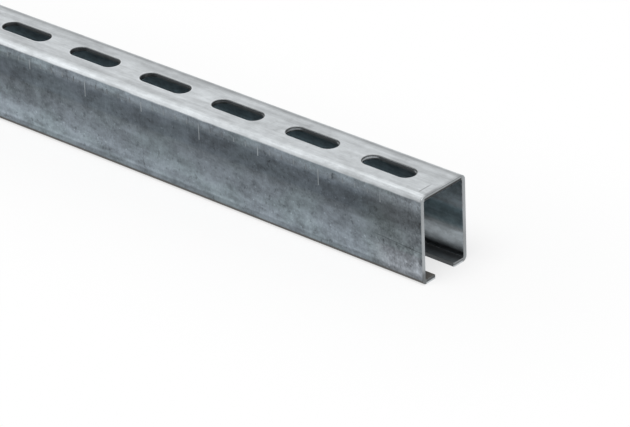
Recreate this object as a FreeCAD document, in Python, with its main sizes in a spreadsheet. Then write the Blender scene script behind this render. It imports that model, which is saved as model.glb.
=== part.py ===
"""Slotted mounting rail of galvanised sheet steel: one roll-formed length with a row of long holes.

The rail lies along X with its slotted web on top, its two inward lips on the floor (z = 0) and the
photographed end at +X. The origin is the middle of the footprint. All sizes are in millimetres.
"""
import math
import os

import FreeCAD
import Part
import Sketcher

# Driving sizes
SIZES = {
    "rail_length": 2000.0,    # a length such rails are stocked in
    "rail_width": 42.0,       # over the two flanges
    "rail_height": 60.0,      # floor to the top of the web
    "sheet": 3.0,             # wall thickness, the same through the bends
    "mouth": 18.0,            # clear gap between the lips
    "bend_inside": 0.8,       # inside radius of the four bends
    "slot_width": 13.5,       # clears an M12 bolt
    "slot_length": 40.0,      # end to end
    "slot_pitch": 62.5,       # centre to centre
    "slot_lead": 0.5,         # edge that the punch drew in round each slot, on the outside
    "end_margin": 42.5,       # cut end at +X to the centre of the first slot
    "least_land": 8.0,        # least steel left between the last slot and the far cut
}


def make_sheet(doc):
    """Spreadsheet with one named cell for each driving size."""
    sheet = doc.addObject("Spreadsheet::Sheet", "Sizes")
    for row, (name, value) in enumerate(SIZES.items(), start=1):
        sheet.set(f"A{row}", name)
        sheet.set(f"B{row}", str(value))
        sheet.setAlias(f"B{row}", name)
    doc.recompute()
    return sheet


def origin_feature(body, role):
    """Origin plane or axis of the body, by its role."""
    return next(f for f in body.Origin.OriginFeatures if f.Role == role)


def new_sketch(body, name, plane, lift=None):
    """Sketch on one of the body's own origin planes, lifted off it by an expression if given."""
    sketch = body.newObject("Sketcher::SketchObject", name)
    sketch.AttachmentSupport = [(origin_feature(body, plane), "")]
    sketch.MapMode = "FlatFace"
    if lift:
        sketch.setExpression("AttachmentOffset.Base.z", lift)
    return sketch


def relate(sketch, kind, *refs):
    """Geometric constraint with no number; -1 is the sketch's level axis and -2 its upright one."""
    sketch.addConstraint(Sketcher.Constraint(kind, *refs))


def dimension(sketch, name, kind, refs, value, expression):
    """Named dimension that follows an expression over the named sizes."""
    index = sketch.addConstraint(Sketcher.Constraint(kind, *refs, value))
    sketch.renameConstraint(index, name)
    sketch.setExpression(f"Constraints.{name}", expression)


def section_sketch(body):
    """C section with sharp corners: web on top, flanges at the sides, lips turned in below."""
    s = SIZES
    half, inner, mouth = s["rail_width"] / 2, s["rail_width"] / 2 - s["sheet"], s["mouth"] / 2
    top, under, lip = s["rail_height"], s["rail_height"] - s["sheet"], s["sheet"]
    points = [(-mouth, 0), (-half, 0), (-half, top), (half, top), (half, 0), (mouth, 0),
              (mouth, lip), (inner, lip), (inner, under), (-inner, under), (-inner, lip), (-mouth, lip)]
    sketch = new_sketch(body, "Section", "YZ_Plane")
    count = len(points)
    for i in range(count):
        a, b = points[i], points[(i + 1) % count]
        sketch.addGeometry(Part.LineSegment(FreeCAD.Vector(*a, 0), FreeCAD.Vector(*b, 0)), False)
    for i in range(count):
        relate(sketch, "Coincident", i, 2, (i + 1) % count, 1)
    for i in (1, 3, 5, 7, 9, 11):
        relate(sketch, "Vertical", i)
    for i in (0, 4, 6, 10):
        relate(sketch, "Horizontal", i)
    relate(sketch, "Symmetric", 2, 1, 2, 2, -2)
    relate(sketch, "Symmetric", 8, 1, 8, 2, -2)
    relate(sketch, "Symmetric", 0, 1, 4, 2, -2)
    relate(sketch, "PointOnObject", 0, 1, -1)
    wall = s["sheet"]
    dimension(sketch, "over_flanges", "DistanceX", (2, 1, 2, 2), 2 * half, "Sizes.rail_width")
    dimension(sketch, "over_web", "DistanceY", (-1, 1, 2, 1), top, "Sizes.rail_height")
    dimension(sketch, "between_lips", "DistanceX", (0, 1, 4, 2), 2 * mouth, "Sizes.mouth")
    dimension(sketch, "lip_right", "DistanceY", (5, 1, 5, 2), wall, "Sizes.sheet")
    dimension(sketch, "lip_left", "DistanceY", (0, 1, 10, 2), wall, "Sizes.sheet")
    dimension(sketch, "web_wall", "DistanceY", (8, 1, 2, 2), wall, "Sizes.sheet")
    dimension(sketch, "flange_wall", "DistanceX", (8, 1, 2, 2), wall, "Sizes.sheet")
    return sketch


def pad_along(body, name, sketch, expression):
    """Pad of the sketch, the same length to both sides of its plane."""
    pad = body.newObject("PartDesign::Pad", name)
    pad.Profile = sketch
    if "SideType" in pad.PropertiesList:
        pad.SideType = "Symmetric"
    else:
        pad.Midplane = True
    pad.setExpression("Length", expression)
    return pad


def long_edges(shape, spots):
    """Names of the edges along X that pass through the given (y, z) spots."""
    names = []
    for index, edge in enumerate(shape.Edges, start=1):
        middle = edge.valueAt((edge.FirstParameter + edge.LastParameter) / 2)
        along = edge.Curve.TypeId == "Part::GeomLine" and abs(abs(edge.Curve.Direction.x) - 1) < 1e-9
        if along and any(abs(middle.y - y) < 1e-4 and abs(middle.z - z) < 1e-4 for y, z in spots):
            names.append(f"Edge{index}")
    return names


def slot_rims(shape):
    """Names of the edges where the slots break through the top of the web."""
    top, reach = SIZES["rail_height"], SIZES["slot_width"] / 2 + 1e-3
    names = []
    for index, edge in enumerate(shape.Edges, start=1):
        box = edge.BoundBox
        if abs(box.ZMin - top) < 1e-4 and -reach < box.YMin and box.YMax < reach:
            names.append(f"Edge{index}")
    return names


def bend(doc, body, name, base, spots, expression):
    """Round the long edges at the given (y, z) spots."""
    doc.recompute()
    names = long_edges(base.Shape, spots)
    assert len(names) == len(spots), (name, names)
    fillet = body.newObject("PartDesign::Fillet", name)
    fillet.Base = (base, names)
    fillet.setExpression("Radius", expression)
    doc.recompute()
    return fillet


def slot_sketch(body):
    """Outline of the first long hole, on the top of the web next to the +X end."""
    s = SIZES
    radius, reach = s["slot_width"] / 2, (s["slot_length"] - s["slot_width"]) / 2
    centre = s["rail_length"] / 2 - s["end_margin"]
    sketch = new_sketch(body, "SlotOutline", "XY_Plane", "Sizes.rail_height")
    right, left = FreeCAD.Vector(centre + reach, 0, 0), FreeCAD.Vector(centre - reach, 0, 0)
    up, across, quarter = FreeCAD.Vector(0, 0, 1), FreeCAD.Vector(0, radius, 0), math.pi / 2
    sketch.addGeometry(Part.ArcOfCircle(Part.Circle(right, up, radius), -quarter, quarter), False)
    sketch.addGeometry(Part.ArcOfCircle(Part.Circle(left, up, radius), quarter, 3 * quarter), False)
    sketch.addGeometry(Part.LineSegment(right + across, left + across), False)
    sketch.addGeometry(Part.LineSegment(left - across, right - across), False)
    for a, b in (((0, 2), (2, 1)), ((2, 2), (1, 1)), ((1, 2), (3, 1)), ((3, 2), (0, 1))):
        relate(sketch, "Tangent", *a, *b)
    relate(sketch, "PointOnObject", 0, 3, -1)
    relate(sketch, "PointOnObject", 1, 3, -1)
    dimension(sketch, "end_radius", "Radius", (0,), radius, "Sizes.slot_width / 2")
    dimension(sketch, "straight", "DistanceX", (1, 3, 0, 3), 2 * reach,
              "Sizes.slot_length - Sizes.slot_width")
    dimension(sketch, "place", "DistanceX", (-1, 1, 0, 3), centre + reach,
              "Sizes.rail_length / 2 - Sizes.end_margin + (Sizes.slot_length - Sizes.slot_width) / 2")
    return sketch


def pocket_down(doc, body, name, sketch, expression):
    """Pocket of the sketch into the web; the steel it takes away is checked."""
    before = body.Shape.Volume
    pocket = body.newObject("PartDesign::Pocket", name)
    pocket.Profile = sketch
    pocket.Type = "Length"
    pocket.setExpression("Length", expression)
    doc.recompute()
    assert pocket.Shape.Volume < before - 1, name
    return pocket


def repeat_along(doc, body, name, features, count, pitch):
    """Repeat features towards -X, as many times as the length holds."""
    pattern = body.newObject("PartDesign::LinearPattern", name)
    pattern.Originals = features
    pattern.Direction = (origin_feature(body, "X_Axis"), [""])
    pattern.Reversed = True
    body.Tip = pattern
    pattern.setExpression("Occurrences", count)
    pattern.setExpression("Length", f"({count} - 1) * {pitch}")
    doc.recompute()
    return pattern


def draw_in_rims(doc, body, name, row, expression):
    """Bevel the top rim of every slot, as the punch draws the steel in where it enters."""
    names = slot_rims(row.Shape)
    assert len(names) == 4 * row.Occurrences, (name, len(names))
    chamfer = body.newObject("PartDesign::Chamfer", name)
    chamfer.Base = (row, names)
    chamfer.setExpression("Size", expression)
    body.Tip = chamfer
    doc.recompute()
    return chamfer


def build_rail(doc):
    """The whole rail as one PartDesign body."""
    s = SIZES
    body = doc.addObject("PartDesign::Body", "SlottedRail")
    stock = pad_along(body, "Stock", section_sketch(body), "Sizes.rail_length")
    half, top = s["rail_width"] / 2, s["rail_height"]
    inner, under, lip = half - s["sheet"], top - s["sheet"], s["sheet"]
    outside = [(-half, 0), (half, 0), (-half, top), (half, top)]
    inside = [(-inner, lip), (inner, lip), (-inner, under), (inner, under)]
    outer = bend(doc, body, "OutsideBends", stock, outside, "Sizes.bend_inside + Sizes.sheet")
    bend(doc, body, "InsideBends", outer, inside, "Sizes.bend_inside")
    slot = pocket_down(doc, body, "FirstSlot", slot_sketch(body), "Sizes.sheet * 1.5")
    room = "Sizes.rail_length - Sizes.end_margin - Sizes.slot_length / 2 - Sizes.least_land"
    count = f"(floor(({room}) / Sizes.slot_pitch) + 1)"
    row = repeat_along(doc, body, "SlotRow", [slot], count, "Sizes.slot_pitch")
    draw_in_rims(doc, body, "SlotRims", row, "Sizes.slot_lead")
    return body


def check(doc, body):
    """Stop on any feature in error, or a shape that is not one valid solid."""
    for feature in doc.Objects:
        bad = {"Invalid", "Error"} & set(feature.State)
        assert not bad, (feature.Name, feature.State)
    shape = body.Shape
    assert shape.isValid() and len(shape.Solids) == 1, "the rail is not one valid solid"
    box = shape.BoundBox
    print(f"slotted_rail: {box.XLength:.2f} x {box.YLength:.2f} x {box.ZLength:.2f} mm,"
          f" z from {box.ZMin:.3f}, {shape.Volume / 1000:.1f} cm3, {len(shape.Faces)} faces")


def main():
    """Build the rail and write its STEP file."""
    os.makedirs("parts", exist_ok=True)
    doc = FreeCAD.newDocument("SlottedRail")
    make_sheet(doc)
    body = build_rail(doc)
    doc.recompute()
    check(doc, body)
    body.Shape.exportStep("parts/slotted_rail.step")


main()
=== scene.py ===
"""Slotted mounting rail of galvanised sheet steel: its skin, punched edges, marks, light and camera.

The rail lies along X with its slotted web on top and its open side on the floor (z = 0). The cut end
that the camera looks at is at +X. Lengths are metres: the rail's own are written as millimetres times
MM, and the stops of a fade are plain millimetres.
"""
import logging
import math
from dataclasses import dataclass, field
from enum import Enum
from typing import Callable, Union

import bmesh
import bpy
from mathutils import Matrix, Vector


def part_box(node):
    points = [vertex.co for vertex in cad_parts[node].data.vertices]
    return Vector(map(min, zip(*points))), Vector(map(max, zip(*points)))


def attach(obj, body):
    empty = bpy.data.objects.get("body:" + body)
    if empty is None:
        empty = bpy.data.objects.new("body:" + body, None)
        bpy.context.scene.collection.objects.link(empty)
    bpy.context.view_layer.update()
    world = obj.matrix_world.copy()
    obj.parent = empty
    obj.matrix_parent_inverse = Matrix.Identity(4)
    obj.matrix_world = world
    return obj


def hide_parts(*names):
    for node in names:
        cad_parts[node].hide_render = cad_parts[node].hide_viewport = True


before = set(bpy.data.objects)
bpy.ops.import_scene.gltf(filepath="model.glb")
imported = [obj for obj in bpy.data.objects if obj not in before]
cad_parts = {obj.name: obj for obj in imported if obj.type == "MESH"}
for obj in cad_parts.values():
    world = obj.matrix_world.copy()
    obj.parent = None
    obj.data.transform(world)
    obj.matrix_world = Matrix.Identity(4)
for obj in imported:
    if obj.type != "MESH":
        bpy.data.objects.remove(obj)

LOG = logging.getLogger("slotted_rail")
MM = 0.001
RAIL_NODE = "slotted_rail"
CLOSE = 0.02 * MM
NOISE_MEAN = 0.5

Triple = tuple[float, float, float]
Colour = Triple
Curve = tuple[tuple[float, float], ...]
Fade = tuple[float, ...]
Spot = Callable[[Vector], bool]

EVEN: Triple = (1.0, 1.0, 1.0)
DRAWN_OUT: Triple = (1.0, 26.0, 26.0)
WHITE: Colour = (1.0, 1.0, 1.0)


class Side(Enum):
    """The two long sides of the rail, by the sign of Y."""

    NEAR = -1
    FAR = 1


class Skin(Enum):
    """Material slots of the rail's mesh, in the order that Solidify counts them."""

    OUTSIDE = 0
    INSIDE = 1
    CUT = 2


@dataclass(frozen=True)
class Patch:
    """Local change of a tone or tint, by how it fades along two axes; an empty fade leaves its axis out."""

    gain: float
    along: Fade = ()
    across: Fade = ()


@dataclass(frozen=True)
class Grain:
    """One layer of soft noise: its waves in a metre, octaves, stretch and limits, and what it adds.

    The stretch is how much finer the noise gets along each axis. The limits are the values that
    become 0 and 1.
    """

    scale: float
    detail: float
    rough: float = 0.5
    stretch: Triple = EVEN
    limits: tuple[float, ...] = ()
    gain: float = 1.0


Patches = tuple[Patch, ...]
Layers = tuple[Grain, ...]


class Signal:
    """One output in a material's node tree; Python's operators on it add the Math nodes."""

    def __init__(self, recipe: "Recipe", socket: bpy.types.NodeSocket) -> None:
        """Keep the socket and the recipe that it belongs to."""
        self.recipe = recipe
        self.socket = socket

    def _math(self, operation: str, *values: "Part") -> "Signal":
        """Result of a new Math node, by the operation's name and the inputs in order."""
        return self.recipe.node("ShaderNodeMath", {"operation": operation}, dict(enumerate(values)))

    def __add__(self, other: "Part") -> "Signal":
        """Sum."""
        return self._math("ADD", self, other)

    def __radd__(self, other: "Part") -> "Signal":
        """Sum, reflected."""
        return self._math("ADD", other, self)

    def __sub__(self, other: "Part") -> "Signal":
        """Difference."""
        return self._math("SUBTRACT", self, other)

    def __rsub__(self, other: "Part") -> "Signal":
        """Difference, reflected."""
        return self._math("SUBTRACT", other, self)

    def __mul__(self, other: "Part") -> "Signal":
        """Product."""
        return self._math("MULTIPLY", self, other)

    def __rmul__(self, other: "Part") -> "Signal":
        """Product, reflected."""
        return self._math("MULTIPLY", other, self)

    def __abs__(self) -> "Signal":
        """Size without its sign."""
        return self._math("ABSOLUTE", self)

    def rounded(self) -> "Signal":
        """Nearest whole number."""
        return self._math("ROUND", self)

    def limited(self, low: float, high: float) -> "Signal":
        """Value held between two limits."""
        return self._math("MINIMUM", self._math("MAXIMUM", self, low), high)

    def root(self) -> "Signal":
        """Square root."""
        return self._math("SQRT", self)

    def between(self, low: float, high: float) -> "Signal":
        """Ease from 0 at low to 1 at high, clamped; low may be the larger."""
        ends = {"Value": self, "From Min": low, "From Max": high, "To Min": 0.0, "To Max": 1.0}
        return self.recipe.node("ShaderNodeMapRange", {"interpolation_type": "SMOOTHSTEP"}, ends)

    def fade(self, stops: Fade) -> "Signal":
        """Ease a length from 0 to 1 by stops in millimetres.

        Args:
            stops: two, from where it is 0 to where it is 1, or four, where the last two are the end
                of the full stretch and where it is 0 again. They may run either way.

        Returns:
            The eased value, clamped.
        """
        rise = self.between(stops[0] * MM, stops[1] * MM)
        if len(stops) == 2:
            return rise
        return rise * self.between(stops[3] * MM, stops[2] * MM)


Part = Union[Signal, float]
Paint = Union[Signal, Colour]


class Recipe:
    """The node tree of a material or of the world, under construction."""

    def __init__(self, owner: Union[bpy.types.Material, bpy.types.World]) -> None:
        """Empty the owner's node tree.

        Args:
            owner: the material or world that the nodes belong to.
        """
        self.owner = owner
        owner.use_nodes = True
        self.tree = owner.node_tree
        self.tree.nodes.clear()
        self.layers: dict[Grain, Signal] = {}

    @classmethod
    def named(cls, name: str) -> "Recipe":
        """Start a new material of that name."""
        return cls(bpy.data.materials.new(name))

    def node(self, kind: str, settings: dict, inputs: dict, output: Union[int, str] = 0) -> Signal:
        """Add any node.

        Args:
            kind: the node's type.
            settings: its own properties, or a ramp's stops, set first.
            inputs: values or signals by socket name or number.
            output: which output to hand back.

        Returns:
            The output as a signal.
        """
        made = self.tree.nodes.new(kind)
        for name, value in settings.items():
            if name == "stops":
                self.set_stops(made.color_ramp, value)
            else:
                setattr(made, name, value)
        for name, value in inputs.items():
            if isinstance(value, Signal):
                self.tree.links.new(value.socket, made.inputs[name])
            else:
                made.inputs[name].default_value = value
        return Signal(self, made.outputs[output] if made.outputs else None)

    @staticmethod
    def set_stops(ramp: bpy.types.ColorRamp, stops: Curve) -> None:
        """Give a ramp its grey stops, which ease into each other.

        Args:
            ramp: the ramp of a new node.
            stops: pairs of position and tone.
        """
        ramp.interpolation = "EASE"
        while len(ramp.elements) < len(stops):
            ramp.elements.new(0.5)
        for element, (position, tone) in zip(ramp.elements, stops):
            element.position = position
            element.color = (tone, tone, tone, 1.0)

    def place(self, stretch: Triple = EVEN) -> Signal:
        """Object coordinates, times a stretch that makes a pattern finer along each axis."""
        spot = {"Vector": self.node("ShaderNodeTexCoord", {}, {}, "Object"), "Scale": stretch}
        return self.node("ShaderNodeMapping", {"vector_type": "POINT"}, spot)

    def axes(self) -> tuple[Signal, Signal, Signal]:
        """Object coordinates as three numbers."""
        outputs = self.node("ShaderNodeSeparateXYZ", {}, {"Vector": self.place()}).socket.node.outputs
        return tuple(Signal(self, output) for output in outputs)

    def grain(self, layer: Grain) -> Signal:
        """One layer of noise.

        Args:
            layer: its sizes.

        Returns:
            The noise from 0 to 1. A layer that is asked for again is the same node.
        """
        if layer not in self.layers:
            sizes = {"Vector": self.place(layer.stretch), "Scale": layer.scale,
                     "Detail": layer.detail, "Roughness": layer.rough}
            value = self.node("ShaderNodeTexNoise", {}, sizes)
            self.layers[layer] = value.between(*layer.limits) if layer.limits else value
        return self.layers[layer]

    def grains(self, base: float, layers: Layers) -> Signal:
        """A tone of several layers of noise.

        Args:
            base: the tone where every layer is 0.
            layers: the layers, each with its gain.

        Returns:
            The tone.
        """
        total = base
        for layer in layers:
            total = total + self.grain(layer) * layer.gain
        return total

    @staticmethod
    def patched(base: float, patches: Patches, along: Signal, across: Signal) -> Signal:
        """A number with local changes.

        Args:
            base: the number where no patch is.
            patches: the changes, which add up.
            along: what the first fade of each patch measures.
            across: what its second fade measures.

        Returns:
            The base plus the gain of each patch, faded along both.
        """
        total = base
        for patch in patches:
            share = patch.gain
            for axis, stops in ((along, patch.along), (across, patch.across)):
                share = share * axis.fade(stops) if stops else share
            total = total + share
        return total

    def blend(self, amount: Part, first: Paint, second: Paint) -> Signal:
        """Mix two colours: an amount of 0 gives the first, 1 the second."""
        pair = {0: amount, 6: rgba(first), 7: rgba(second)}
        return self.node("ShaderNodeMix", {"data_type": "RGBA"}, pair, 2)

    def scaled(self, colour: Paint, factor: Part) -> Signal:
        """A colour times a number, through Vector Math."""
        return self.node("ShaderNodeVectorMath", {"operation": "SCALE"}, {0: colour, "Scale": factor})

    def ramp(self, value: Signal, stops: Curve) -> Signal:
        """Piecewise tone curve.

        Args:
            value: number from 0 to 1.
            stops: pairs of position and tone.

        Returns:
            The tone.
        """
        peak = max(tone for _, tone in stops)
        shares = tuple((position, tone / peak) for position, tone in stops)
        return self.node("ShaderNodeValToRGB", {"stops": shares}, {"Fac": value}) * peak

    def relief(self, height: Signal, strength: float, depth: float) -> Signal:
        """Normals of a relief, by its height from 0 to 1, its strength and its full depth."""
        sizes = {"Strength": strength, "Distance": depth, "Height": height}
        return self.node("ShaderNodeBump", {}, sizes)

    def metal(self, colour: Signal, metallic: Part, roughness: Part, **more: Signal) -> bpy.types.Material:
        """Close the material as a coat of metal, with more of its sockets by name."""
        coat = {"Base Color": colour, "Metallic": metallic, "Roughness": roughness, **more}
        return self.finish(self.node("ShaderNodeBsdfPrincipled", {}, coat))

    def finish(self, shader: Signal) -> bpy.types.Material:
        """Wire a shader to the output and hand the material back."""
        self.node("ShaderNodeOutputMaterial", {}, {"Surface": shader})
        return self.owner


def rgba(colour: Paint) -> Union[Signal, tuple[float, float, float, float]]:
    """A colour as a socket takes it."""
    return colour if isinstance(colour, Signal) else (*colour, 1.0)


@dataclass(frozen=True)
class SlotRow:
    """Where the long holes lie, as the finishes need it: by the distance back from the sawn end."""

    first: float
    pitch: float
    count: int
    reach: float
    full_to: float = 0.3
    gone_from: float = 2.9

    def run(self, back: Signal) -> Signal:
        """Distance along the rail from the centre of the nearest hole."""
        along = (back - self.first) * (1.0 / self.pitch)
        return abs(along - along.rounded().limited(0.0, self.count - 1.0)) * self.pitch

    def by_sawn_end(self, back: Signal) -> Signal:
        """1 at the hole next to the sawn end, whose edges get a painted highlight, falling to 0 before the
        fourth.
        """
        # From the sawn end, the painted highlight and painted shade of the holes fade out over these holes.
        wear_share_and_fade_stop, by_sawn_end = self.first + self.gone_from * self.pitch, self.first + self.full_to * self.pitch
        return back.between(wear_share_and_fade_stop, by_sawn_end)

    def off_axis(self, back: Signal, y: Signal) -> Signal:
        """Distance from the middle line of the nearest hole."""
        beyond = (self.run(back) - self.reach).limited(0.0, 1.0)
        return (beyond * beyond + y * y).root()


@dataclass(frozen=True)
class WebTone:
    """How light the web and its bends are: streaks, and painted light and shade: strips of painted
    reflection across it, a darker far edge of painted shade, and painted highlight and shade on the
    bends and round the rims of the holes.

    The strips run from the near edge (0) to the far one (1). A patch is placed by its distance back
    from the sawn end and its Y, a rim by its distance from the middle line of the hole.
    """

    slots: SlotRow
    half_width: float
    # Painted light and shade: the tone across the web stands in for the light and reflections on it, with a
    # band of painted shade at the far edge.
    strips: Curve = (
        (0.0, 1.03), (0.026, 1.02), (0.083, 0.93), (0.119, 0.83), (0.165, 0.795), (0.214, 0.84),
        (0.262, 0.855), (0.298, 0.82), (0.4, 0.85), (0.5, 0.88), (0.6, 0.855), (0.7, 0.75),
        (0.74, 0.76), (0.786, 0.8), (0.825, 0.775), (0.862, 0.65), (0.888, 0.5), (0.908, 0.52),
        (0.928, 0.78), (0.955, 1.0), (0.98, 1.05))
    base: float = 0.045
    streaks: Grain = Grain(11, 5, 0.65, DRAWN_OUT, gain=0.64)
    clouds: Grain = Grain(30, 4, 0.6, (1, 2.6, 2.6), gain=0.38)
    mottle: Grain = Grain(125, 5, 0.7, (0.5, 1, 1), gain=1.05)
    spots: Grain = Grain(190, 3, 0.5, (0.7, 1, 1), (0.36, 0.27), gain=-0.1)
    # Painted highlight and painted shade on the near bend and the web beside it, changing along the rail.
    near_bend: Patches = (
        Patch(0.25, (180, 15), (-18.8, -17.8, -15.8, -14.8)),
        Patch(-0.25, (180, 15), (-18.3, -19.3)),
        Patch(-0.07, (75, 65, 25, 15), (-17.8, -16.8, -8.5, -7.5)),
        Patch(-0.1, (250, 235, 150, 135), (-18.8, -19.6)),
        Patch(0.16, (240, 300), (-16, -18)),
        Patch(-0.1, (240, 300), (-15.5, -14.5, -8, -7)))
    # Darker within a few millimetres of the sawn end; on the near bend this is painted shade over its
    # highlight.
    sawn_edge: Patches = (
        Patch(-0.22, (3, 0.5), (-18, -15)),
        Patch(-0.2, (3, 0.5), (-18, -15, -8, 2)),
        Patch(-0.1, (6.5, 4), (-18, -15, -8, 2)),
        Patch(-0.28, (1.8, 0.4), (-15, -18)))
    scribed_line: Patch = Patch(-0.42, (7.6, 7.3, 6.6, 6.3), (-14.6, -13.4, -6, -1))
    # Painted highlight in a ring round each hole and painted shade on its rolled-in rim; the holes by the
    # sawn end get a darker rim of painted shade.
    rims: Patches = (Patch(0.14, (7.15, 7.45, 7.75, 8.05)), Patch(-0.62, (7.35, 6.95)))
    end_hole_rim_shade: Patch = Patch(-0.24, (8.3, 7.3))

    def over(self, mix: Recipe, back: Signal, y: Signal) -> Signal:
        """The tone over the web.

        Args:
            mix: the material's recipe.
            back: distance back from the sawn end.
            y: place across the rail.

        Returns:
            The tone, which the web's colour is scaled by.
        """
        # Painted light and shade across the web, on the near bend, by the sawn end and round the holes.
        strips = mix.ramp(y * (0.5 / self.half_width) + 0.5, self.strips)
        grain = mix.grains(self.base, (self.streaks, self.clouds, self.mottle, self.spots))
        off = self.slots.off_axis(back, y)
        end_hole_rim_shade = mix.patched(0.0, (self.end_hole_rim_shade,), off, y) * self.slots.by_sawn_end(back)
        rims = mix.patched(1.0, self.rims, off, y) + end_hole_rim_shade
        bend = mix.patched(1.0, self.near_bend, back, y)
        edge = mix.patched(1.0, self.sawn_edge, back, y)
        return strips * grain * bend * rims * edge * mix.patched(1.0, (self.scribed_line,), back, y)


@dataclass(frozen=True)
class FlangeTone:
    """How light a flange is: broad bands and stretches of painted reflection and shade, with blotches,
    fine scratches, specks and a scored line.

    The bands run from the floor (0) to the top (1). A patch is placed by its distance back from the
    sawn end and its height. The scored line climbs away from the sawn end.
    """

    height: float
    # Painted reflection and shade: light and dark bands up the flange.
    bands: Curve = (
        (0.06, 0.68), (0.075, 0.74), (0.1, 0.7), (0.125, 1.02), (0.165, 0.86), (0.2, 0.94),
        (0.235, 0.95), (0.27, 0.88), (0.33, 0.76), (0.37, 0.66), (0.43, 0.64), (0.5, 0.63),
        (0.535, 0.57), (0.57, 0.5), (0.6, 0.43), (0.635, 0.375), (0.67, 0.345), (0.7, 0.335),
        (0.77, 0.335), (0.8, 0.36), (0.833, 0.48), (0.867, 0.615), (0.9, 0.75), (0.93, 0.7))
    base: float = 0.46
    blotches: Grain = Grain(70, 6, 0.72, (0.6, 1, 1), (0.34, 0.66), gain=0.8)
    clouds: Grain = Grain(150, 4, 0.65, (0.7, 1, 1), (0.38, 0.62), gain=0.4)
    wide: Grain = Grain(18, 3, 0.5, (0.6, 1, 1), gain=0.88)
    upright: Grain = Grain(34, 3, 0.6, (14, 1, 0.8), gain=0.36)
    specks: Grain = Grain(430, 2, limits=(0.62, 0.76), gain=0.9)
    pits: Grain = Grain(350, 2, 0.5, (1, 1, 0.7), (0.38, 0.27), gain=-0.5)
    grit: Grain = Grain(560, 2, 0.5, (1.2, 1, 0.9), gain=0.75)
    end_grit: Patch = Patch(0.75, (45, 15))
    flecks: Grain = Grain(300, 3, 0.6, (1, 1, 0.8), (0.38, 0.66))
    fleck_mean: float = 0.45
    flecked: Patch = Patch(0.62, (45, 15), (9, 11, 22.5, 24.5))
    # Painted light and shade: lighter and darker stretches along the flange.
    stretches: Patches = (
        Patch(-0.2, (87, 75, 28, 16), (30.5, 33, 46, 48.5)),
        Patch(-0.1, (45, 15)),
        Patch(0.2, (45, 15), (30, 32, 36, 38)),
        Patch(-0.13, (45, 15), (13.5, 15.5, 18.5, 20.5)),
        Patch(0.28, (45, 15), (4.5, 6.5, 12.5, 14.5)),
        Patch(0.22, (17, 6), (42, 45, 54, 57)),
        Patch(0.2, (8, 4), (31, 33, 56, 58)),
        Patch(0.16, (6.9, 5.7, 3.2, 2), (7, 9, 26, 28)),
        Patch(0.08, (147, 135, 85, 73), (40.5, 42, 50, 51.5)),
        Patch(-0.1, (240, 225, 150, 135)),
        Patch(0.1, (240, 225, 150, 135), (37, 40, 46, 49)),
        Patch(0.18, (235, 255), (52.5, 53.5, 56.5, 57.5)),
        Patch(0.12, (235, 255), (37, 39, 46.5, 48.5)))
    scored_line: Patch = Patch(-0.4, (45, 25), (22.1, 22.4, 22.7, 23))
    score_slope: float = 0.055

    def over(self, mix: Recipe, back: Signal, z: Signal) -> Signal:
        """The tone over a flange.

        Args:
            mix: the material's recipe.
            back: distance back from the sawn end.
            z: height above the floor.

        Returns:
            The tone, which the flange's colour is scaled by.
        """
        # Painted reflection and shade, in bands up the flange and in stretches along it.
        bands = mix.ramp(z * (1.0 / self.height), self.bands)
        layers = (self.blotches, self.clouds, self.wide, self.upright, self.specks, self.pits)
        grit = mix.patched(self.grit.gain, (self.end_grit,), back, z) * (mix.grain(self.grit) - NOISE_MEAN)
        flecks = mix.patched(0.0, (self.flecked,), back, z) * (mix.grain(self.flecks) - self.fleck_mean)
        grain = mix.grains(self.base, layers) + grit + flecks
        scored = mix.patched(1.0, (self.scored_line,), back, z - back * self.score_slope)
        return bands * grain * scored * mix.patched(1.0, self.stretches, back, z)


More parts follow.
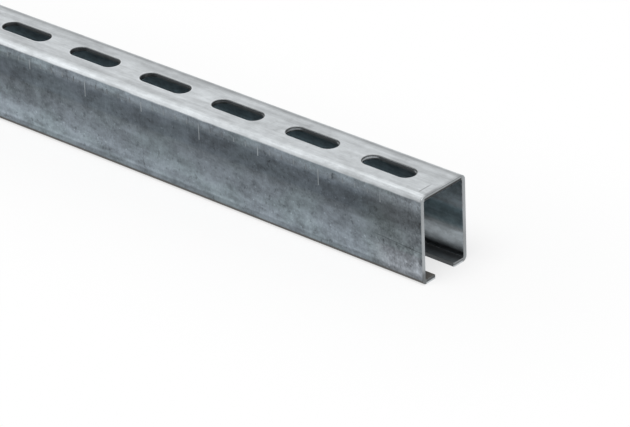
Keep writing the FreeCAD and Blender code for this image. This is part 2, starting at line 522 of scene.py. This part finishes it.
@dataclass(frozen=True)
class ZincSkin:
    """Zinc coat on the outside of the rail: bright on the web and its bends, and on the flanges dark with
    painted shade and dark reflection; the foot is darker still with painted shade.

    The two meet in a wavy fold line near the top of the flange. Tints and the fold's shifts are
    placed by their distance back from the sawn end and their height.
    """

    end: float
    web: WebTone
    flange: FlangeTone
    bright: Colour = (0.575, 0.603, 0.622)
    # Painted shade and dark reflection: the flanges' dark colours, in green, blue and grey tints.
    shaded_flange: Colour = (0.1595, 0.1795, 0.196)
    shaded_flange_green: Colour = (0.156, 0.1835, 0.1925)
    shaded_flange_blue: Colour = (0.148, 0.183, 0.222)
    shaded_flange_grey: Colour = (0.1665, 0.1805, 0.197)
    # Painted shade at the foot, where the lower bend turns under towards the floor.
    dark_foot_and_lips: Colour = (0.082, 0.077, 0.07)
    hue: Grain = Grain(55, 3, 0.5, (0.5, 1, 1), (0.4, 0.64))
    bluer: Patches = (
        Patch(0.25, (25, 55)),
        Patch(0.32, (25, 55), (35, 38, 49, 52)))
    greyer: Patch = Patch(1.0, (45, 25), (20.5, 17.5))
    fold: Fade = (58, 56.8)
    fold_shift: Patches = (
        Patch(0.12 * MM, (235, 220, 30, 15)),
        Patch(-0.18 * MM, (235, 255)))
    waves: Grain = Grain(420, 3, 0.5, (0.15, 1, 1))
    fold_waves: float = 1.4 * MM
    foot: Fade = (3.9, 2.7)
    foot_waves: float = 0.8 * MM
    metallic: float = 0.9
    roughness: float = 0.36
    drawn_rough: float = 0.22
    flange_rough: float = 0.06
    drawn: Grain = Grain(38, 5, 0.65, DRAWN_OUT, gain=0.6)
    pits: Grain = Grain(900, 3, 0.6, gain=0.4)
    relief: tuple[float, float] = (0.35, 0.05 * MM)

    def material(self) -> bpy.types.Material:
        """Build the zinc coat's material."""
        mix = Recipe.named("zinc_outside")
        x, y, z = mix.axes()
        back = self.end - x
        wave = mix.grain(self.waves) - NOISE_MEAN
        shift = mix.patched(0.0, self.fold_shift, back, z)
        flange = (z + shift + wave * self.fold_waves).fade(self.fold)
        bright = mix.scaled(self.bright, self.web.over(mix, back, y))
        # Painted shade and dark reflection on the flanges.
        shaded_flange = mix.scaled(self.shaded_flange_colour(mix, back, z), self.flange.over(mix, back, z))
        # Painted shade at the foot.
        foot = (z + wave * self.foot_waves).fade(self.foot)
        skin = mix.blend(foot, mix.blend(flange, bright, shaded_flange), self.dark_foot_and_lips)
        drawn = mix.grain(self.drawn) - NOISE_MEAN
        rough = self.roughness + drawn * self.drawn_rough + flange * self.flange_rough
        normal = mix.relief(mix.grains(0.0, (self.drawn, self.pits)), *self.relief)
        return mix.metal(skin, self.metallic, rough, Normal=normal)

    def shaded_flange_colour(self, mix: Recipe, back: Signal, z: Signal) -> Signal:
        """The flanges' colour, painted dark as shade and dark reflection: greener in clouds, bluer further
        from the end, greyer low at the end.

        Args:
            mix: the material's recipe.
            back: distance back from the sawn end.
            z: height above the floor.

        Returns:
            The colour.
        """
        colour = mix.blend(mix.grain(self.hue), self.shaded_flange, self.shaded_flange_green)
        colour = mix.blend(mix.patched(0.0, self.bluer, back, z), colour, self.shaded_flange_blue)
        return mix.blend(mix.patched(0.0, (self.greyer,), back, z), colour, self.shaded_flange_grey)


@dataclass(frozen=True)
class InnerSkin:
    """Zinc coat on the inside of the rail, in bands of painted reflection and shade with painted shade
    further in from the open end, and stained, with a painted shaded far lip, where it turns into the
    lips.

    The bands run from the floor (0) to the top (1). A patch is placed by its distance back from the
    sawn end and its height, the lips' shade by its Y.
    """

    end: float
    height: float
    colour: Colour = (0.335, 0.37, 0.392)
    cool: Colour = (0.33, 0.437, 0.487)
    # The near lip is stained brownish; the far lip is darker, as painted shade deep in the channel.
    lip_stain: Colour = (0.158, 0.149, 0.137)
    lip_dark: Colour = (0.104, 0.116, 0.124)
    # Painted reflection and shade: light and dark bands up the inside.
    bands: Curve = (
        (0.062, 0.3), (0.07, 0.25), (0.083, 0.11), (0.1, 0.12), (0.125, 0.34), (0.18, 0.52),
        (0.22, 0.6), (0.267, 0.74), (0.317, 0.87), (0.35, 0.66), (0.39, 0.44), (0.417, 0.37),
        (0.5, 0.37), (0.567, 0.53), (0.617, 0.8), (0.68, 0.96), (0.73, 0.93), (0.767, 0.72),
        (0.84, 0.7), (0.92, 0.5))
    # Painted shade, with some painted light, further in from the open end.
    deeper_in: Patches = (
        Patch(-0.5, (10, 35), (30, 36)),
        Patch(-0.22, (10, 35), (8, 11, 22, 25)),
        Patch(-0.3, (10, 35), (17.5, 20.5, 28, 31)),
        Patch(0.15, (30, 60), (34, 37, 46, 49)))
    # A cooler tint over the dark band of painted shade.
    cooler: Patches = (
        Patch(1.0, (), (21, 25, 34, 38)),
        Patch(0.5, (30, 60)))
    base: float = 0.85
    streaks: Grain = Grain(16, 4, 0.6, (1, 20, 20), gain=1)
    blotches: Grain = Grain(60, 3, gain=0.6)
    clouds: Grain = Grain(170, 4, 0.65, (0.6, 1, 1), (0.36, 0.64), gain=0.7)
    lip: Fade = (3.6, 3.2)
    lip_base: float = 0.5
    far_lip: Fade = (-1, 1)
    lip_shade: Patch = Patch(-0.72, (9.5, 16.5))
    metallic: float = 0.92
    lip_less_metallic: float = 0.6
    roughness: float = 0.26
    streak_rough: float = 0.12
    lip_rough: float = 0.2
    pits: Grain = Grain(700, 3, 0.6)
    relief: tuple[float, float] = (0.3, 0.05 * MM)

    def material(self) -> bpy.types.Material:
        """Build the inner coat's material."""
        mix = Recipe.named("zinc_inside")
        x, y, z = mix.axes()
        back = self.end - x
        lip = z.fade(self.lip)
        # Painted reflection and shade in bands, and painted shade further in from the open end.
        tone = mix.ramp(z * (1.0 / self.height), self.bands) * mix.patched(1.0, self.deeper_in, back, z)
        tone = tone * mix.grains(self.base, (self.streaks, self.blotches, self.clouds))
        cooler = mix.patched(0.0, self.cooler, back, z).limited(0.0, 1.0)
        zinc = mix.scaled(mix.blend(cooler, self.colour, self.cool), tone)
        # The lips: stained brownish on the near side, and darker on the far side and towards the far flange
        # as painted shade.
        dark_foot_and_lips = mix.blend(y.fade(self.far_lip), self.lip_stain, self.lip_dark)
        shade = mix.patched(1.0, (self.lip_shade,), y, z) * (self.lip_base + mix.grain(self.blotches))
        skin = mix.blend(lip, zinc, mix.scaled(dark_foot_and_lips, shade))
        rough = self.roughness + mix.grain(self.streaks) * self.streak_rough + lip * self.lip_rough
        normal = mix.relief(mix.grain(self.pits), *self.relief)
        return mix.metal(skin, self.metallic - lip * self.lip_less_metallic, rough, Normal=normal)


@dataclass(frozen=True)
class CutSteel:
    """Bare steel where the rail was sawn off, slit or punched, with painted light and shade on its faces.

    A patch on a sawn face is placed by its Y and its height.
    """

    end: float
    slots: SlotRow
    colour: Colour = (0.355, 0.375, 0.386)
    sawn: Fade = (0.8, 0.7)
    base: float = 0.65
    teeth: Grain = Grain(260, 3, 0.6, (1, 2, 14), gain=0.4)
    clouds: Grain = Grain(140, 3, gain=0.3)
    side_tone: float = 0.75
    hole_ends: Fade = (13, 16.5)
    end_darker: float = 0.36
    low_wall: Patch = Patch(-0.3, (), (58.6, 57.8))
    # Painted highlight: a bright crescent in the shear band at the ends of the holes by the sawn end.
    shear_glint: Fade = (57.75, 58.05, 58.9, 59.2)
    sheared_light: float = 1.5
    sheared_less_metallic: float = 0.75
    wall_tone: float = 1.13
    high_wall: Patch = Patch(-0.12, (), (30, 50))
    # Painted shade on the left of each flange's sawn face, where the light falls from the right.
    left_edges: Patches = (
        Patch(-0.16, (-19.8, -21)),
        Patch(-0.16, (16.3, 17.5, 18, 19.2)))
    feet: Patches = (
        Patch(0.58, (0, -5), (12, 6.5)),
        Patch(0.24, (0, 5), (46, 8)))
    # A darker line at the top of the web's sawn face, and a painted shadow over its lower part.
    web: Patches = (
        Patch(-0.36, (-18, -17, 17, 18), (58.9, 59.7)),
        Patch(-0.9, (-18, -17, 17, 18), (56.4, 57.4, 58.1, 58.9)))
    lips: Patch = Patch(1.0, (-18, -17, 17, 18), (3.6, 2.6))
    near_side: Fade = (5, -5)
    # Painted reflection of the floor low on each lip's sawn face, which darkens above it.
    lip_light: float = 0.5
    lip_top: Fade = (0.8, 1.5)
    lip_top_darker: float = 0.728
    near_top_darker: float = 0.52
    far_dip: Patch = Patch(0.3, (), (0.7, 1.2, 2.2, 2.7))
    metallic: float = 0.85
    roughness: float = 0.34
    teeth_rough: float = 0.2
    relief: tuple[float, float] = (0.4, 0.06 * MM)

    def material(self) -> bpy.types.Material:
        """Build the cut steel's material."""
        mix = Recipe.named("cut_steel")
        x, y, z = mix.axes()
        sawn = (self.end - abs(x)).fade(self.sawn)
        back = self.end - x
        hole_end = self.slots.run(back).fade(self.hole_ends)
        # Painted highlight in the shear band at the ends of the holes by the sawn end.
        shear_glint = hole_end * self.slots.by_sawn_end(back) * z.fade(self.shear_glint)
        punched = (self.side_tone - hole_end * self.end_darker) * mix.patched(1.0, (self.low_wall,), y, z)
        punched = punched + shear_glint * self.sheared_light
        tone = sawn * self.sawn_tone(mix, y, z) + (1.0 - sawn) * punched
        skin = mix.scaled(self.colour, tone * mix.grains(self.base, (self.teeth, self.clouds)))
        rough = self.roughness + mix.grain(self.teeth) * self.teeth_rough
        metallic = self.metallic - (1.0 - sawn) * shear_glint * self.sheared_less_metallic
        normal = mix.relief(mix.grain(self.teeth), *self.relief)
        return mix.metal(skin, metallic, rough, Normal=normal)

    def sawn_tone(self, mix: Recipe, y: Signal, z: Signal) -> Signal:
        """The tone of a sawn face: darker at the feet, with a painted shadow low down in the web, painted
        shade on the left of each flange, and a painted reflection of the floor low on the lips, darker on
        top of them.

        Args:
            mix: the material's recipe.
            y: place across the rail.
            z: height above the floor.

        Returns:
            The tone, which the steel's colour is scaled by.
        """
        lips = mix.patched(0.0, (self.lips,), y, z)
        near_lip = lips * y.fade(self.near_side)
        feet = mix.patched(0.0, self.feet, y, z) * (1.0 - lips)
        walls = mix.patched(self.wall_tone, (self.high_wall,), y, z)
        # Painted shade on the left of each flange's sawn face.
        walls = walls * mix.patched(1.0, self.left_edges, y, z) * (1.0 - feet)
        lip_top = z.fade(self.lip_top) * (self.lip_top_darker + near_lip * self.near_top_darker)
        dip = (lips - near_lip) * mix.patched(0.0, (self.far_dip,), y, z)
        # Painted shadow low down in the web, and painted reflection of the floor low on the lips.
        return walls * mix.patched(1.0, self.web, y, z) * (1.0 + lips * (self.lip_light - lip_top) - dip)


@dataclass(frozen=True)
class MarkZincLitAndWorn:
    """Raised marks, lighter than their flange as painted light, uneven with wear, most on the long ones."""

    end: float
    first_long: float
    long_step: float
    # A lighter and a fainter copy of the zinc: painted light that the raised marks catch, mixed by wear.
    light: Colour = (0.29, 0.319, 0.34)
    faint: Colour = (0.13, 0.145, 0.157)
    metallic: float = 0.9
    roughness: float = 0.42
    wear: Grain = Grain(75, 3, 0.6, limits=(0.34, 0.6))
    wear_share_and_fade_stop: float = 0.55
    long_evener: float = 0.05
    long_lighter: float = 0.44
    long_reach: Fade = (3, 1.5)

    def material(self) -> bpy.types.Material:
        """Build the rubbed zinc's material."""
        mix = Recipe.named("mark_zinc_lit_and_worn")
        x, _, _ = mix.axes()
        along = (self.end - self.first_long - x) * (1.0 / self.long_step)
        long_mark = (abs(along - along.rounded()) * self.long_step).fade(self.long_reach)
        wear = mix.grain(self.wear) * (self.wear_share_and_fade_stop - long_mark * self.long_evener)
        # Painted light on the marks, uneven with wear, and most on the long ones.
        skin = mix.blend(wear + long_mark * self.long_lighter, self.faint, self.light)
        return mix.metal(skin, self.metallic, self.roughness)


class Bench:
    """Edit-mode work on one mesh object, with everything selected by place."""

    def __init__(self, piece: bpy.types.Object) -> None:
        """Make the piece the only selected and active one.

        Args:
            piece: the mesh object to work on.
        """
        bpy.ops.object.select_all(action="DESELECT")
        self.piece = piece
        piece.select_set(True)
        bpy.context.view_layer.objects.active = piece

    def __enter__(self) -> "Bench":
        """Go into edit mode."""
        bpy.ops.object.mode_set(mode="EDIT")
        return self

    def __exit__(self, *trouble: object) -> None:
        """Go back to object mode."""
        bpy.ops.object.mode_set(mode="OBJECT")

    def points(self, spot: Spot) -> None:
        """Select the vertices whose place passes the test, and nothing else."""
        self._pick("VERT", lambda mesh: mesh.verts, lambda v: spot(v.co))

    def edges(self, spot: Spot) -> None:
        """Select the edges whose ends both pass the test."""
        self._pick("EDGE", lambda mesh: mesh.edges, lambda e: all(spot(v.co) for v in e.verts))

    def rims(self, spot: Spot) -> None:
        """Select the open edges whose ends both pass the test."""
        self._pick("EDGE", lambda mesh: mesh.edges,
                   lambda e: len(e.link_faces) < 2 and all(spot(v.co) for v in e.verts))

    def folds(self, spot: Spot, least: float) -> None:
        """Select the sharp edges whose ends both pass the test.

        Args:
            spot: test of a place.
            least: smallest angle between the two faces, in degrees.
        """
        def sharp(edge: bmesh.types.BMEdge) -> bool:
            """Whether the two faces meet at more than the least angle."""
            return len(edge.link_faces) == 2 and edge.calc_face_angle(0.0) > math.radians(least)

        self._pick("EDGE", lambda mesh: mesh.edges,
                   lambda e: all(spot(v.co) for v in e.verts) and sharp(e))

    def along(self, axis: int) -> None:
        """Select the edges that run along one axis.

        Args:
            axis: 0, 1 or 2 for X, Y or Z.
        """
        def runs(edge: bmesh.types.BMEdge) -> bool:
            """Whether the edge has length along the axis alone."""
            step = edge.verts[1].co - edge.verts[0].co
            return abs(abs(step[axis]) - step.length) < CLOSE

        self._pick("EDGE", lambda mesh: mesh.edges, runs)

    def _pick(self, mode: str, group: Callable, test: Callable) -> None:
        """Select what passes a test, and nothing else.

        Args:
            mode: Blender's name for the select mode.
            group: what gives the mesh's vertices or edges.
            test: whether one of them is wanted.
        """
        bpy.ops.mesh.select_mode(type=mode)
        bpy.ops.mesh.select_all(action="DESELECT")
        mesh = bmesh.from_edit_mesh(self.piece.data)
        chosen = [part for part in group(mesh) if test(part)]
        for part in chosen:
            part.select_set(True)
        mesh.select_flush_mode()
        bmesh.update_edit_mesh(self.piece.data)
        assert chosen, "nothing selected"

    @staticmethod
    def pull(move: Triple) -> None:
        """Extrude the selected edges by a move."""
        bpy.ops.mesh.extrude_edges_move()
        bpy.ops.transform.translate(value=move)


def new_piece(name: str) -> bpy.types.Object:
    """Name the object that was just added, and put its place into its mesh.

    Args:
        name: its new name.

    Returns:
        The object.
    """
    piece = bpy.context.object
    piece.name = name
    bpy.ops.object.transform_apply(location=True, rotation=True, scale=True)
    return piece


def apply_modifier(piece: bpy.types.Object, kind: str, **settings: object) -> None:
    """Add one modifier and apply it.

    Args:
        piece: the object.
        kind: the modifier's type.
        settings: its properties.
    """
    Bench(piece)
    modifier = piece.modifiers.new(kind.lower(), kind)
    for name, value in settings.items():
        setattr(modifier, name, value)
    bpy.ops.object.modifier_apply(modifier=modifier.name)


@dataclass
class SlottedRail:
    """The roll-formed rail: a slotted web, two flanges and two lips of one sheet.

    Beside each bend and cut end, a strip as wide as hold keeps the shading of the flat parts even.
    """

    low: Vector
    high: Vector
    sheet: float = 3.0 * MM
    mouth: float = 18.0 * MM
    bend: float = 3.8 * MM
    slot_width: float = 13.5 * MM
    slot_length: float = 40.0 * MM
    pitch: float = 62.5 * MM
    slots: int = 31
    end_margin: float = 42.5 * MM
    slot_lead: float = 0.5 * MM
    burr: float = 0.2 * MM
    hold: float = 0.5 * MM
    collar: float = 1.2 * MM
    rim_slack: float = 0.3 * MM
    round_steps: int = 56
    bend_steps: int = 8
    web_cuts: int = 3
    lead_steps: int = 4
    burr_steps: int = 2
    sharp_angle: float = 40.0
    smooth_angle: float = 35.0
    face_weight: int = 80
    piece: bpy.types.Object = field(init=False)

    @property
    def flat(self) -> float:
        """Half the flat width of the web, between its bends."""
        return self.high.y - self.bend

    @property
    def first(self) -> float:
        """Place of the first slot's centre."""
        return self.high.x - self.end_margin

    @property
    def reach(self) -> float:
        """Half the straight stretch of a slot's sides."""
        return (self.slot_length - self.slot_width) / 2

    @property
    def rim(self) -> float:
        """How far from a slot's middle line its own rim can lie."""
        return self.slot_width / 2 + self.rim_slack

    def build(self) -> bpy.types.Object:
        """Model the rail and give it to the frame.

        Returns:
            The finished mesh object.
        """
        self.piece = self.slot_cell()
        apply_modifier(self.piece, "ARRAY", count=self.slots, use_relative_offset=False,
                       use_constant_offset=True, constant_offset_displace=(-self.pitch, 0.0, 0.0),
                       use_merge_vertices=True, merge_threshold=CLOSE)
        self.run_out_ends()
        for side in Side:
            self.roll_down(side)
        self.thicken()
        self.ease_edges()
        self.dress()
        return self.piece

    def slot_cell(self) -> bpy.types.Object:
        """Model one slot with the web round it, a pitch long: the skin of its top only.

        Returns:
            The mesh object.
        """
        top = (self.first, 0.0, self.high.z)
        half_step = math.pi / self.round_steps
        bpy.ops.object.select_all(action="DESELECT")
        bpy.ops.mesh.primitive_circle_add(vertices=self.round_steps, radius=self.slot_width / 2,
                                          location=top, rotation=(0.0, 0.0, half_step))
        piece = new_piece("rail")
        collar = 1 + 2 * self.collar / self.slot_width
        with Bench(piece) as bench:
            bpy.ops.mesh.select_all(action="SELECT")
            bpy.ops.mesh.extrude_edges_move()
            bpy.ops.transform.resize(value=(collar, collar, 1.0), center_override=top)
            for way in (1, -1):
                bench.points(lambda p: (p.x - self.first) * way > 0)
                bpy.ops.transform.translate(value=(way * self.reach, 0.0, 0.0))
            bpy.ops.mesh.select_all(action="DESELECT")
            bpy.ops.mesh.primitive_plane_add(size=1.0, location=top)
            plate = (self.pitch, 2 * (self.flat - self.hold), 1.0)
            bpy.ops.transform.resize(value=plate, center_override=top)
            bpy.ops.mesh.delete(type="ONLY_FACE")
            bench.rims(lambda p: abs(p.y) > self.flat - 2 * self.hold)
            bpy.ops.mesh.subdivide(number_cuts=self.web_cuts)
            inner = (self.slot_width + self.collar) / 2
            bench.rims(lambda p: self.off_axis(p) > inner)
            bpy.ops.mesh.fill(use_beauty=True)
        return piece

    def off_axis(self, p: Vector) -> float:
        """Distance from the middle line of the nearest slot.

        Args:
            p: a place on the web.

        Returns:
            The distance.
        """
        along = (self.first - p.x) / self.pitch
        near = self.first - self.pitch * min(max(round(along), 0), self.slots - 1)
        return math.hypot(max(abs(p.x - near) - self.reach, 0.0), p.y)

    def run_out_ends(self) -> None:
        """Carry the web out from the last cells to both cut ends."""
        right = self.first + self.pitch / 2
        left = self.first - self.pitch * (self.slots - 0.5)
        with Bench(self.piece) as bench:
            for start, stop in ((right, self.high.x), (left, self.low.x)):
                step = stop - start
                near = math.copysign(self.hold, step)
                bench.rims(lambda p: abs(p.x - start) < CLOSE)
                bench.pull((step - near, 0.0, 0.0))
                bench.pull((near, 0.0, 0.0))

    def roll_down(self, side: Side) -> None:
        """Form one side from the web: bend, flange, bend and lip.

        Args:
            side: which side of the rail.
        """
        way = side.value
        edge = self.flat - self.hold
        turn = way * math.pi / 2
        half = self.high.y
        with Bench(self.piece) as bench:
            bench.rims(lambda p: abs(p.y * way - edge) < CLOSE)
            bench.pull((0.0, way * self.hold, 0.0))
            self.spin(turn, (0.0, way * self.flat, self.high.z - self.bend))
            bench.rims(lambda p: abs(p.y * way - half) < CLOSE)
            bench.pull((0.0, 0.0, -self.hold))
            bench.pull((0.0, 0.0, -(self.high.z - 2 * self.bend - 2 * self.hold)))
            bench.pull((0.0, 0.0, -self.hold))
            self.spin(turn, (0.0, way * self.flat, self.low.z + self.bend))
            bench.rims(lambda p: abs(p.z - self.low.z) < CLOSE and p.y * way > 0)
            bench.pull((0.0, -way * self.hold, 0.0))
            bench.pull((0.0, -way * (self.flat - self.hold - self.mouth / 2), 0.0))

    def spin(self, turn: float, centre: Triple) -> None:
        """Turn the selected edges by radians about a line along X through the centre."""
        bpy.ops.mesh.spin(steps=self.bend_steps, angle=turn, center=centre, axis=(1.0, 0.0, 0.0))

    def thicken(self) -> None:
        """Close the skin's doubles, face it outwards and give it the sheet's thickness inwards."""
        with Bench(self.piece):
            bpy.ops.mesh.select_all(action="SELECT")
            bpy.ops.mesh.remove_doubles(threshold=CLOSE)
            bpy.ops.mesh.normals_make_consistent(inside=False)
        upward = max(self.piece.data.polygons, key=lambda f: f.center.z)
        if upward.normal.z < 0:
            self.piece.data.flip_normals()
        for skin in Skin:
            self.piece.data.materials.append(None)
        apply_modifier(self.piece, "SOLIDIFY", thickness=self.sheet, offset=-1.0, use_even_offset=True,
                       use_rim=True, material_offset=Skin.INSIDE.value, material_offset_rim=Skin.CUT.value)

    def ease_edges(self) -> None:
        """Round the drawn-in rims of the slots, and break the sawn, slit and punched edges."""
        top = self.high.z
        with Bench(self.piece) as bench:
            bench.folds(lambda p: abs(p.z - top) < CLOSE and self.off_axis(p) < self.rim, self.sharp_angle)
            bpy.ops.mesh.bevel(offset=self.slot_lead, segments=self.lead_steps)
            end = self.high.x - CLOSE
            bench.folds(lambda p: abs(p.x) > end or self.slit_or_punched(p), self.sharp_angle)
            bpy.ops.mesh.bevel(offset=self.burr, segments=self.burr_steps)
        Bench(self.piece)
        bpy.ops.object.shade_smooth_by_angle(angle=math.radians(self.smooth_angle))
        apply_modifier(self.piece, "WEIGHTED_NORMAL", keep_sharp=True, weight=self.face_weight)

    def slit_or_punched(self, p: Vector) -> bool:
        """Whether a place is on a lip's tip or on a slot's lower rim."""
        tip = abs(abs(p.y) - self.mouth / 2) < CLOSE and p.z < self.bend
        return tip or (abs(p.z - (self.high.z - self.sheet)) < CLOSE and self.off_axis(p) < self.rim)

    def dress(self) -> None:
        """Give the three skins their finishes and hand the rail to the frame."""
        end, half_width, height = self.high
        row = SlotRow(self.end_margin, self.pitch, self.slots, self.reach)
        finishes = {Skin.OUTSIDE: ZincSkin(end, WebTone(row, half_width), FlangeTone(height)),
                    Skin.INSIDE: InnerSkin(end, height), Skin.CUT: CutSteel(end, row)}
        for skin, finish in finishes.items():
            self.piece.data.materials[skin.value] = finish.material()
        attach(self.piece, "root")
        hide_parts(RAIL_NODE)


class Mark(Enum):
    """Depth marks on the near flange, by their height."""

    TEN = 3.6 * MM
    FIFTY = 7.0 * MM
    HUNDRED = 11.5 * MM


@dataclass
class DepthMarks:
    """Row of shallow raised lines on the near flange, one every 10 mm."""

    face: float
    end: float
    top: float = 54.3 * MM
    width: float = 0.85 * MM
    proud: float = 0.12 * MM
    sunk: float = 0.08 * MM
    first: float = 2.3 * MM
    step: float = 10.0 * MM
    row: tuple[Mark, ...] = (Mark.TEN, Mark.TEN, Mark.TEN, Mark.FIFTY, Mark.TEN,
                             Mark.TEN, Mark.TEN, Mark.TEN, Mark.HUNDRED, Mark.TEN)
    repeats: int = 20
    round_share: float = 0.42
    round_steps: int = 3
    soft_share: float = 0.7
    soft_steps: int = 2
    smooth_angle: float = 50.0

    def build(self) -> bpy.types.Object:
        """Model the marks and give them to the frame.

        Returns:
            The finished mesh object.
        """
        patterns = {mark: self.pattern(mark) for mark in Mark}
        group = [self.copy_to(patterns[mark], -self.step * i) for i, mark in enumerate(self.row)]
        bpy.ops.object.select_all(action="DESELECT")
        for pattern in patterns.values():
            pattern.select_set(True)
        bpy.ops.object.delete()
        for item in group:
            item.select_set(True)
        bpy.context.view_layer.objects.active = group[0]
        bpy.ops.object.join()
        piece = new_piece("depth_marks")
        length = self.step * len(self.row)
        apply_modifier(piece, "ARRAY", count=self.repeats, use_relative_offset=False,
                       use_constant_offset=True, constant_offset_displace=(-length, 0.0, 0.0))
        bpy.ops.object.shade_smooth_by_angle(angle=math.radians(self.smooth_angle))
        piece.data.materials.append(self.finish().material())
        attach(piece, "root")
        return piece

    def finish(self) -> MarkZincLitAndWorn:
        """The marks' finish, which has to know where the long ones stand."""
        fifty, hundred = self.row.index(Mark.FIFTY), self.row.index(Mark.HUNDRED)
        return MarkZincLitAndWorn(self.end, self.first + fifty * self.step, (hundred - fifty) * self.step)

    def pattern(self, mark: Mark) -> bpy.types.Object:
        """Model one mark with round ends and soft edges, at the first place.

        Args:
            mark: which of the marks.

        Returns:
            The mesh object.
        """
        tall = mark.value
        place = (self.end - self.first, self.face + (self.sunk - self.proud) / 2, self.top - tall / 2)
        bpy.ops.object.select_all(action="DESELECT")
        bpy.ops.mesh.primitive_cube_add(size=1.0, location=place)
        bpy.context.object.scale = (self.width, self.proud + self.sunk, tall)
        piece = new_piece(mark.name.lower())
        with Bench(piece) as bench:
            bench.along(1)
            bpy.ops.mesh.bevel(offset=self.width * self.round_share, segments=self.round_steps)
            bench.edges(lambda p: p.y < self.face - self.proud / 2)
            bpy.ops.mesh.bevel(offset=self.proud * self.soft_share, segments=self.soft_steps)
        return piece

    @staticmethod
    def copy_to(pattern: bpy.types.Object, shift: float) -> bpy.types.Object:
        """Copy a mark along the rail.

        Args:
            pattern: the mark to copy.
            shift: how far along X.

        Returns:
            The copy.
        """
        bpy.ops.object.select_all(action="DESELECT")
        pattern.select_set(True)
        bpy.context.view_layer.objects.active = pattern
        bpy.ops.object.duplicate()
        bpy.ops.transform.translate(value=(shift, 0.0, 0.0))
        return bpy.context.object


@dataclass
class Stage:
    """White floor, soft light and the camera at the photograph's viewpoint."""

    floor_size: float = 60.0
    floor_colour: Colour = (0.9, 0.9, 0.9)
    floor_glow: float = 0.7
    glow_strength: float = 1.0
    shadow_reach: tuple[float, float] = (0.045, 0.2)
    shadow_end: float = 1.0
    ambient: float = 0.45
    backdrop: float = 1.0
    lamp_power: float = 60.0
    lamp_place: Triple = (1.0, -0.9, 2.7)
    lamp_size: tuple[float, float] = (2.4, 1.6)
    lamp_aim: Triple = (0.3, 0.0, 0.0)
    camera_place: Triple = (2.3783304, -1.6198375, 1.1883517)
    azimuth: float = 42.4893
    elevation: float = 28.2817
    roll: float = -2.3153
    lens: float = 227.987
    clip: tuple[float, float] = (0.01, 200.0)

    def build(self) -> None:
        """Set everything round the rail."""
        self.set_floor()
        self.set_world()
        self.hang_lamp()
        self.set_camera()
        bpy.context.scene.view_settings.view_transform = "Standard"

    @staticmethod
    def seen_rays(mix: Recipe) -> Signal:
        """Tell seen light from the light that falls on things.

        Args:
            mix: the recipe that needs it.

        Returns:
            1 for camera, mirror and glass rays, 0 for the others.
        """
        rays = mix.node("ShaderNodeLightPath", {}, {}, "Is Camera Ray")
        outputs = rays.socket.node.outputs
        glossy, glass = Signal(mix, outputs["Is Glossy Ray"]), Signal(mix, outputs["Is Transmission Ray"])
        return mix.node("ShaderNodeClamp", {}, {"Value": rays + glossy + glass})

    def set_floor(self) -> None:
        """Lay a wide white floor that keeps the rail's shadow and glows evenly further out."""
        bpy.ops.object.select_all(action="DESELECT")
        bpy.ops.mesh.primitive_plane_add(size=self.floor_size)
        floor = new_piece("studio_floor")
        mix = Recipe.named("white_floor")
        plain = mix.node("ShaderNodeBsdfDiffuse", {}, {"Color": rgba(self.floor_colour)})
        glow = mix.node("ShaderNodeEmission", {}, {"Color": rgba(WHITE), "Strength": self.glow_strength})
        x, y, _ = mix.axes()
        past = (abs(x) - self.shadow_end).limited(0.0, self.floor_size)
        away = (past * past + y * y).root().between(*self.shadow_reach)
        amount = self.seen_rays(mix) * (self.floor_glow + away * (1.0 - self.floor_glow))
        both = mix.node("ShaderNodeMixShader", {}, {0: amount, 1: plain, 2: glow})
        floor.data.materials.append(mix.finish(both))

    def set_world(self) -> None:
        """White surroundings: full for what is seen, dimmer as light."""
        world = bpy.data.worlds.new("studio")
        bpy.context.scene.world = world
        mix = Recipe(world)
        white = rgba(WHITE)
        light = mix.node("ShaderNodeBackground", {}, {"Color": white, "Strength": self.ambient})
        seen = mix.node("ShaderNodeBackground", {}, {"Color": white, "Strength": self.backdrop})
        both = mix.node("ShaderNodeMixShader", {}, {0: self.seen_rays(mix), 1: light, 2: seen})
        mix.node("ShaderNodeOutputWorld", {}, {"Surface": both})

    def hang_lamp(self) -> None:
        """Hang one soft box over the rail, pointed at it."""
        lamp = bpy.data.lights.new("overhead", "AREA")
        lamp.shape = "RECTANGLE"
        lamp.size, lamp.size_y = self.lamp_size
        lamp.energy = self.lamp_power
        holder = bpy.data.objects.new("overhead", lamp)
        bpy.context.collection.objects.link(holder)
        holder.location = self.lamp_place
        ray = Vector(self.lamp_place) - Vector(self.lamp_aim)
        holder.rotation_euler = ray.to_track_quat("Z", "Y").to_euler()
        holder.visible_camera = False

    def set_camera(self) -> None:
        """Stand the camera where the photograph was taken from."""
        azimuth, elevation, roll = (math.radians(a) for a in (self.azimuth, self.elevation, self.roll))
        ahead = Vector((-math.sin(azimuth) * math.cos(elevation),
                        math.cos(azimuth) * math.cos(elevation), -math.sin(elevation)))
        right = Vector((math.cos(azimuth), math.sin(azimuth), 0.0))
        up = right.cross(ahead)
        across = right * math.cos(roll) + up * math.sin(roll)
        upright = up * math.cos(roll) - right * math.sin(roll)
        data = bpy.data.cameras.new("camera")
        data.lens = self.lens
        data.clip_start, data.clip_end = self.clip
        camera = bpy.data.objects.new("camera", data)
        bpy.context.collection.objects.link(camera)
        camera.matrix_world = Matrix((across, upright, -ahead)).transposed().to_4x4()
        camera.location = self.camera_place
        bpy.context.scene.camera = camera


def main() -> None:
    """Build the rail and its stage, and report each piece."""
    logging.basicConfig(level=logging.INFO, format="%(name)s: %(message)s")
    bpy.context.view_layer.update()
    low, high = (Vector(corner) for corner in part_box(RAIL_NODE))
    rail = SlottedRail(low, high).build()
    marks = DepthMarks(face=low.y, end=high.x).build()
    for piece in (rail, marks):
        LOG.info("%s: %d faces", piece.name, len(piece.data.polygons))
    Stage().build()


if __name__ == "__main__":
    main()
